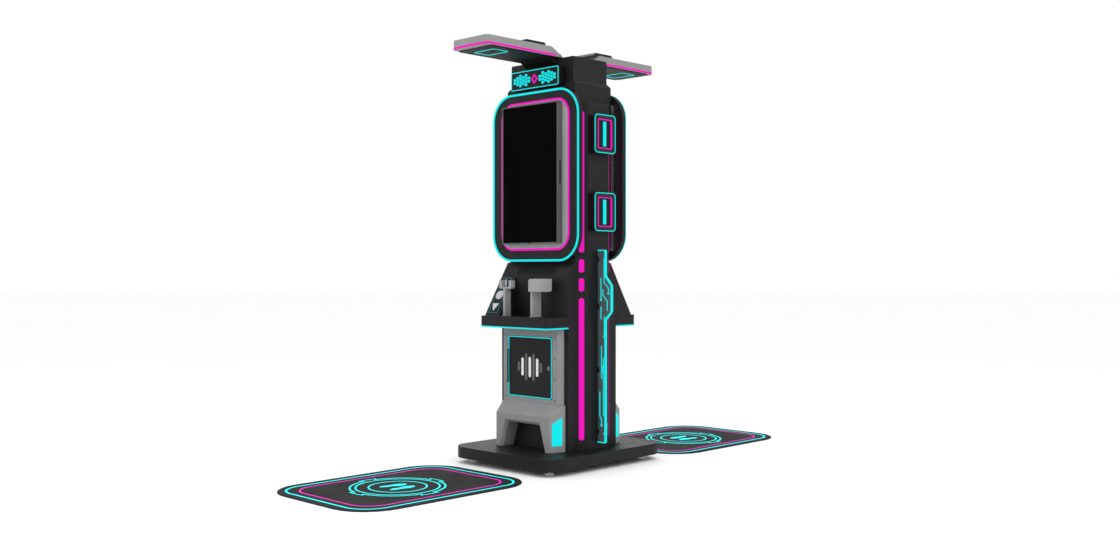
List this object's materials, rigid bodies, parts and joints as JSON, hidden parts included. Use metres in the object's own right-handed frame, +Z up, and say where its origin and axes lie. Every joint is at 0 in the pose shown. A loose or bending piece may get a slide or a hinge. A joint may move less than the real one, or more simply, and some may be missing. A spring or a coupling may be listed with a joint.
{
  "type": "dance rhythm machine",
  "caption": "Back-to-back dance machine: tall screen tower on a plinth, angled button consoles, light fins, overhead canopies and a loose dance mat on each side.",
  "frame": {"origin": "on the floor, under the centre of the tower", "axes": "+X to the front player's right, +Y from the front player towards the rear player, +Z up"},
  "size_m": [1.028, 4.128, 2.884],
  "materials": {
    "black_metal": "satin powder coat",
    "grey_metal": "satin powder coat",
    "stand_grey": "fine grain moulding",
    "black_plastic": "fine grain moulding",
    "screen_glass": "polished, dark when off",
    "button_plastic": "satin moulding",
    "smoked_acrylic": "polished edge-lit sheet",
    "frame_steel": "zinc plated",
    "lock_chrome": "polished",
    "foot_rubber": "matte",
    "mat_rubber": "fine pebble grain",
    "power_unit": "plain folded case",
    "cyan_light": "lit diffuser",
    "magenta_light": "lit diffuser",
    "circuit_board": "solder mask"
  },
  "bodies": {
    "tower": {"plinth": "black_metal", "column": "black_metal", "neck": "black_metal", "power_supply": "power_unit", "front_left_foot": "foot_rubber", "front_right_foot": "foot_rubber", "rear_left_foot": "foot_rubber", "rear_right_foot": "foot_rubber", "left_upper_speaker": "black_plastic", "left_lower_speaker": "black_plastic", "right_upper_speaker": "black_plastic", "right_lower_speaker": "black_plastic", "left_light_fin": "smoked_acrylic", "right_light_fin": "smoked_acrylic", "front_screen_surround": "black_metal", "front_screen_frame": "frame_steel", "front_monitor": "black_plastic", "front_screen": "screen_glass", "front_sign": "black_plastic", "front_canopy": "grey_metal", "front_cabinet": "black_metal", "front_computer": "circuit_board", "front_door_housing": "grey_metal", "front_kick_housing": "grey_metal", "front_door_hinge": "frame_steel", "front_tray": "black_metal", "front_control_fin": "black_metal", "front_button_plate": "black_plastic", "front_switch_board": "circuit_board", "front_reader_stand": "stand_grey", "front_cradle_stand": "stand_grey", "rear_screen_surround": "black_metal", "rear_screen_frame": "frame_steel", "rear_monitor": "black_plastic", "rear_screen": "screen_glass", "rear_sign": "black_plastic", "rear_canopy": "grey_metal", "rear_cabinet": "black_metal", "rear_computer": "circuit_board", "rear_door_housing": "grey_metal", "rear_kick_housing": "grey_metal", "rear_door_hinge": "frame_steel", "rear_tray": "black_metal", "rear_control_fin": "black_metal", "rear_button_plate": "black_plastic", "rear_switch_board": "circuit_board", "rear_reader_stand": "stand_grey", "rear_cradle_stand": "stand_grey"},
    "front_door": {"front_door": "black_plastic"},
    "front_door_lock": {"front_door_lock": "lock_chrome"},
    "front_button_up": {"front_button_up": "button_plastic"},
    "front_button_select": {"front_button_select": "button_plastic"},
    "front_button_down": {"front_button_down": "button_plastic"},
    "rear_door": {"rear_door": "black_plastic"},
    "rear_door_lock": {"rear_door_lock": "lock_chrome"},
    "rear_button_up": {"rear_button_up": "button_plastic"},
    "rear_button_select": {"rear_button_select": "button_plastic"},
    "rear_button_down": {"rear_button_down": "button_plastic"},
    "front_mat": {"front_mat": "mat_rubber"},
    "rear_mat": {"rear_mat": "mat_rubber"}
  },
  "joints": [
    {"name": "front_door_hinge_turn", "type": "hinge", "parent": "tower", "child": "front_door", "pos_m": [-0.2174, -0.2866, 0.672], "axis": [0, 0, -1], "range_deg": [0, 110]},
    {"name": "front_door_lock_turn", "type": "hinge", "parent": "front_door", "child": "front_door_lock", "pos_m": [0.184, -0.282, 0.672], "axis": [0, 1, 0], "range_deg": [0, 90]},
    {"name": "front_button_up_press", "type": "slide", "parent": "tower", "child": "front_button_up", "axis": [0, 0.8593, -0.5114], "range_m": [0, 0.004], "stiffness_N_per_m": 400, "springref_m": -0.004},
    {"name": "front_button_select_press", "type": "slide", "parent": "tower", "child": "front_button_select", "axis": [0, 0.8593, -0.5114], "range_m": [0, 0.004], "stiffness_N_per_m": 400, "springref_m": -0.004},
    {"name": "front_button_down_press", "type": "slide", "parent": "tower", "child": "front_button_down", "axis": [0, 0.8593, -0.5114], "range_m": [0, 0.004], "stiffness_N_per_m": 400, "springref_m": -0.004},
    {"name": "front_mat_slide", "type": "slide", "parent": "tower", "child": "front_mat", "axis": [0, -1, 0], "range_m": [0, 0.15]},
    {"name": "rear_door_hinge_turn", "type": "hinge", "parent": "tower", "child": "rear_door", "pos_m": [0.2174, 0.2866, 0.672], "axis": [0, 0, -1], "range_deg": [0, 110]},
    {"name": "rear_door_lock_turn", "type": "hinge", "parent": "rear_door", "child": "rear_door_lock", "pos_m": [-0.184, 0.282, 0.672], "axis": [0, -1, 0], "range_deg": [0, 90]},
    {"name": "rear_button_up_press", "type": "slide", "parent": "tower", "child": "rear_button_up", "axis": [0, -0.8593, -0.5114], "range_m": [0, 0.004], "stiffness_N_per_m": 400, "springref_m": -0.004},
    {"name": "rear_button_select_press", "type": "slide", "parent": "tower", "child": "rear_button_select", "axis": [0, -0.8593, -0.5114], "range_m": [0, 0.004], "stiffness_N_per_m": 400, "springref_m": -0.004},
    {"name": "rear_button_down_press", "type": "slide", "parent": "tower", "child": "rear_button_down", "axis": [0, -0.8593, -0.5114], "range_m": [0, 0.004], "stiffness_N_per_m": 400, "springref_m": -0.004},
    {"name": "rear_mat_slide", "type": "slide", "parent": "tower", "child": "rear_mat", "axis": [0, 1, 0], "range_m": [0, 0.15]}
  ]
}
